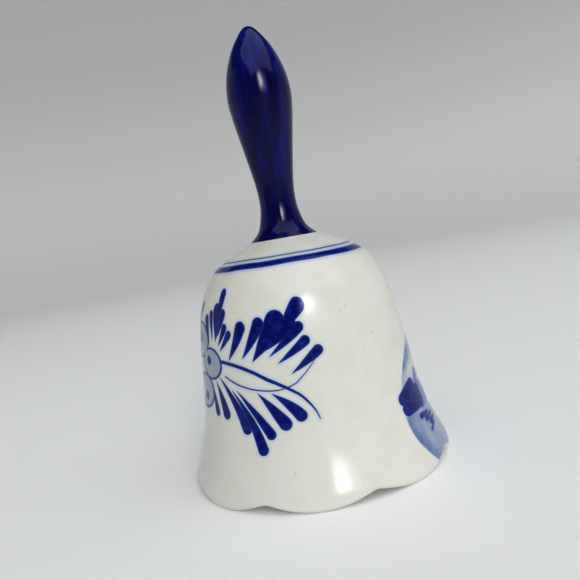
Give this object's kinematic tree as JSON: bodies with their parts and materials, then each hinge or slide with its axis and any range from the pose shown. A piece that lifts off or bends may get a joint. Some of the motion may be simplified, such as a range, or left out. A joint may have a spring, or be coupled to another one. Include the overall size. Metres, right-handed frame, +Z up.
{
  "type": "porcelain hand bell",
  "caption": "Small glazed porcelain hand bell with a flared scalloped body, a tall tapered handle and a bead clapper hung inside on wire.",
  "frame": {"origin": "centre of the rim plane, where the bell stands", "axes": "+Z up along the bell's axis to the tip of the handle; the middle of one lobe of the rim lies on -Y; the clapper's main swing is in the YZ plane"},
  "size_m": [0.077, 0.077, 0.13],
  "materials": {
    "white_glaze": "glossy white glaze with cobalt painting",
    "cobalt_glaze": "glossy deep cobalt glaze",
    "cement": "matt cast cement",
    "brass_wire": "drawn wire, slightly dulled",
    "bead_glaze": "glossy white glaze"
  },
  "bodies": {
    "bell": {"bell_shell": "white_glaze", "handle": "cobalt_glaze", "crown_plug": "cement", "staple": "brass_wire"},
    "ring": {"hanging_ring": "brass_wire"},
    "clapper": {"clapper_wire": "brass_wire"},
    "bead": {"clapper_bead": "bead_glaze"}
  },
  "joints": [
    {"name": "ring_swing", "type": "hinge", "parent": "bell", "child": "ring", "pos_m": [0, 0, 0.0575], "axis": [1, 0, 0], "range_deg": [-30, 30]},
    {"name": "clapper_swing", "type": "hinge", "parent": "ring", "child": "clapper", "pos_m": [0, 0, 0.05295], "axis": [0, 1, 0], "range_deg": [-12, 12]},
    {"name": "bead_spin", "type": "hinge", "parent": "clapper", "child": "bead", "pos_m": [0, 0, 0.017], "axis": [0, 0, 1], "continuous": true}
  ]
}
